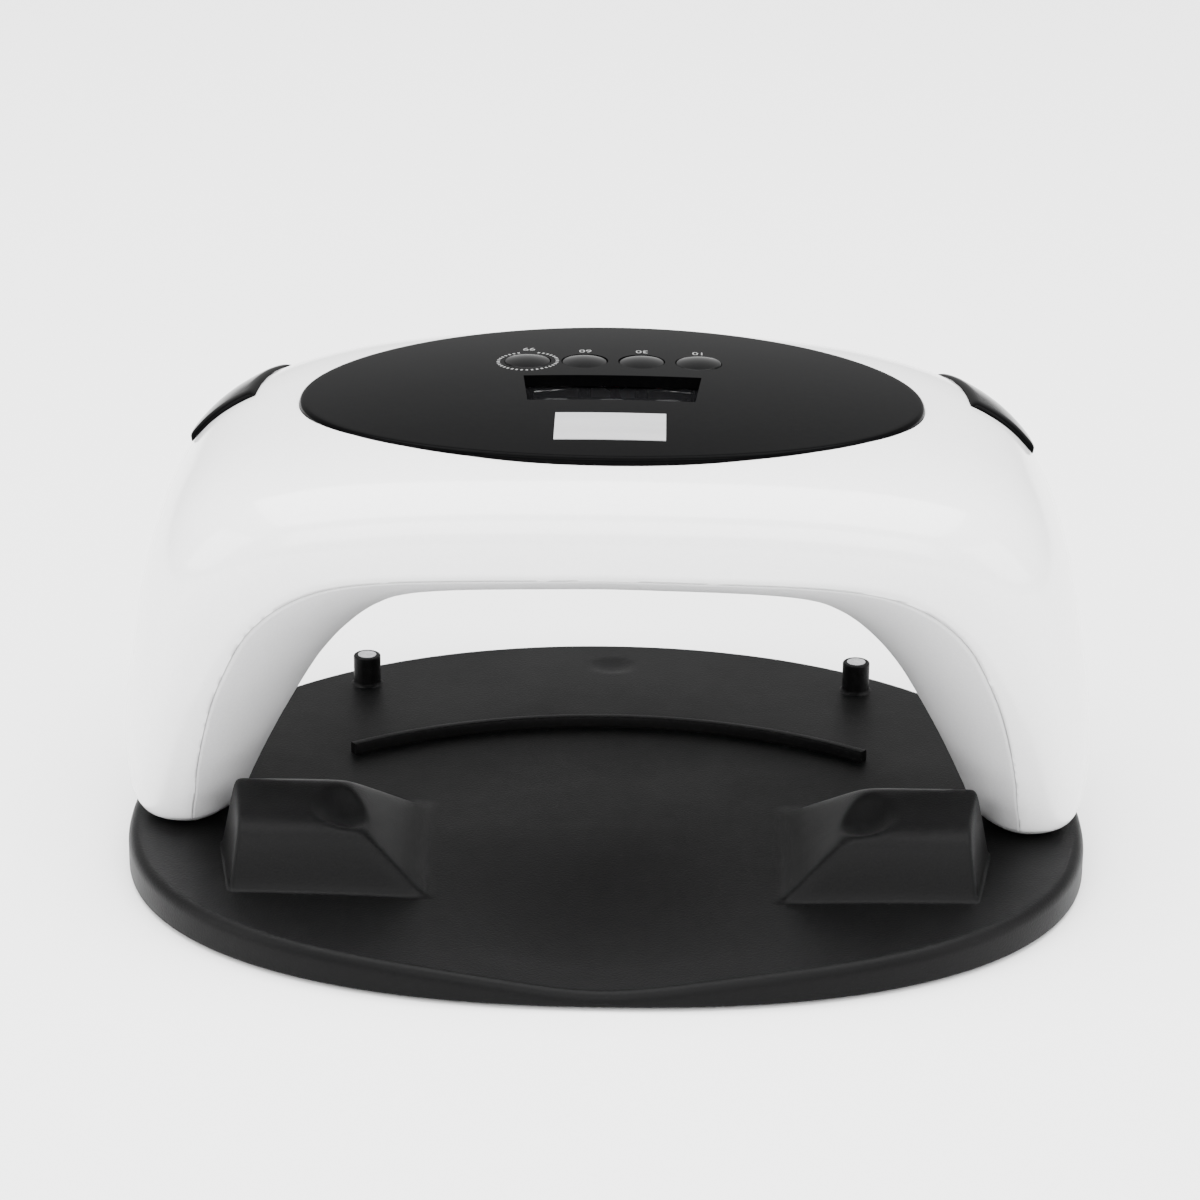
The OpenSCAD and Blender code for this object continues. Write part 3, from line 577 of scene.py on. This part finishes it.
# plain timer numbers behind the buttons, readable from the rear, and a tick ring round the first
for i, t in enumerate(("99", "60", "30", "10")):
    cu = bpy.data.curves.new("num_%s" % t, "FONT")
    cu.body, cu.size, cu.align_x, cu.align_y, cu.extrude = t, .0034, "CENTER", "CENTER", .00002
    to = bpy.data.objects.new("num_%s" % t, cu)
    bpy.context.scene.collection.objects.link(to)
    dg = bpy.context.evaluated_depsgraph_get()
    me = bpy.data.meshes.new_from_object(to.evaluated_get(dg))
    bpy.data.objects.remove(to)
    y = 33.4 + (10.6 if i == 0 else 8.6)
    me.transform(Matrix.Rotation(math.pi, 4, "Z"))
    for p in me.vertices:
        p.co.x += btn_x[i] * MM
        p.co.y += y * MM
        p.co.z += (dome(p.co.x / MM, p.co.y / MM) + .03) * MM
    o = bpy.data.objects.new("timer_mark_%d" % i, me)
    bpy.context.scene.collection.objects.link(o)
    dress(o, "panel_black", "lamp", m="print_grey")
vv, ff = [], []
for k in range(36):
    if k in (8, 9, 10):
        continue
    a0 = 10 * k
    q0 = len(vv)
    for r, a in ((7.2, a0 - 2.2), (8.0, a0 - 2.2), (8.0, a0 + 2.2), (7.2, a0 + 2.2)):
        x, y = btn_x[0] + r * cosd(a), 33.4 + r * sind(a)
        vv.append((x, y, dome(x, y) + .04))
        vv.append((x, y, dome(x, y) + .01))
    ff += [(q0, q0 + 2, q0 + 4, q0 + 6), (q0 + 1, q0 + 7, q0 + 5, q0 + 3)]
    ff += [(q0 + 2 * j, q0 + 2 * j + 1, q0 + 2 * ((j + 1) % 4) + 1, q0 + 2 * ((j + 1) % 4)) for j in range(4)]
dress(mesh_obj("tick_ring", vv, ff, False), "panel_black", "lamp", m="print_grey")

# three unlit seven-segment digits
vv, ff = [], []
zf = zl + 100.9
for cx in (-14, 0, 14):
    def seg_(x0, y0, x1, y1, w=.75):
        dx, dy = x1 - x0, y1 - y0
        L = math.hypot(dx, dy)
        ux, uy = dx / L, dy / L
        pts = [(x0, y0), (x0 + ux * w + uy * w, y0 + uy * w - ux * w), (x1 - ux * w + uy * w, y1 - uy * w - ux * w), (x1, y1),
               (x1 - ux * w - uy * w, y1 - uy * w + ux * w), (x0 + ux * w - uy * w, y0 + uy * w + ux * w)]
        k = len(vv)
        for z in (zf, zf + .06):
            vv.extend((x, y, z) for x, y in pts)
        ff.append(tuple(k + j for j in reversed(range(6))))
        ff.append(tuple(k + 6 + j for j in range(6)))
        ff.extend((k + j, k + (j + 1) % 6, k + 6 + (j + 1) % 6, k + 6 + j) for j in range(6))
    X, Y0, Y1, Y2 = 3.2, 6.4, 12.0, 17.6
    g = .12
    for a in ((-X + g, Y0, X - g, Y0), (-X + g, Y1, X - g, Y1), (-X + g, Y2, X - g, Y2), (-X, Y0 + g, -X, Y1 - g), (X, Y0 + g, X, Y1 - g), (-X, Y1 + g, -X, Y2 - g), (X, Y1 + g, X, Y2 - g)):
        seg_(cx + a[0], a[1], cx + a[2], a[3])
dress(mesh_obj("digit_segments", vv, ff, False), "display_grey", "lamp", m="segment_grey")

# ---------------------------------------------------------------- floor, light and camera
fl = bpy.data.meshes.new("floor")
fl.from_pydata([(-6, -6, 0), (6, -6, 0), (6, 6, 0), (-6, 6, 0)], [], [(0, 1, 2, 3)])
floor = bpy.data.objects.new("floor", fl)
bpy.context.scene.collection.objects.link(floor)
fl.materials.append(mat("floor_pale", (.90, .90, .90), (.92, .92, .92), (.85, .9), cloud_mm=400))

world = bpy.data.worlds.new("studio")
bpy.context.scene.world = world
world.use_nodes = True
world.node_tree.nodes["Background"].inputs[0].default_value = (1, 1, 1, 1)
world.node_tree.nodes["Background"].inputs[1].default_value = 1.15


def area(name, loc, to, size, power):
    l = bpy.data.lights.new(name, "AREA")
    l.shape, l.size, l.size_y, l.energy = "RECTANGLE", size[0], size[1], power
    o = bpy.data.objects.new(name, l)
    bpy.context.scene.collection.objects.link(o)
    o.location = loc
    o.rotation_euler = (Vector(to) - Vector(loc)).to_track_quat("-Z", "Y").to_euler()


area("top", (0, .1, 2.3), (0, 0, 0), (3.2, 2.4), 200)
area("front", (0, -2.2, 1.5), (0, 0, .08), (3.0, 1.4), 84)
area("left", (-2.1, -.5, 1.0), (0, 0, .08), (1.6, 1.4), 38)
area("right", (2.1, -.5, 1.0), (0, 0, .08), (1.6, 1.4), 32)

f, D, u0, v0, roll, az = 4175.0, 1072.2, 8.4, 243.7, .010, math.radians(.8)
e = math.radians(25) - math.atan(v0 / f)
ca, sa, ce, se = math.cos(az), math.sin(az), math.cos(e), math.sin(e)
fwd, right = np.array([-sa * ce, ca * ce, -se]), np.array([ca, sa, 0.0])
R = np.array([right, -np.cross(right, fwd), fwd])
t = np.array([u0 * D / f, v0 * D / f, D])
Rr = np.array([[math.cos(roll), -math.sin(roll), 0], [math.sin(roll), math.cos(roll), 0], [0, 0, 1]])
R, t = Rr @ R, Rr @ t
loc = (-R.T @ t - np.array([0, 10.7, -1.0])) * MM
cam = bpy.data.objects.new("camera", bpy.data.cameras.new("camera"))
bpy.context.scene.collection.objects.link(cam)
cam.data.sensor_width, cam.data.lens, cam.data.clip_start, cam.data.clip_end = 36, f * 36 / 1200, .05, 50
mw = Matrix.Identity(4)
for i, col in enumerate((R[0], -R[1], -R[2], loc)):
    for j in range(3):
        mw[j][i] = float(col[j])
cam.matrix_world = mw
bpy.context.scene.camera = cam

bpy.context.view_layer.update()
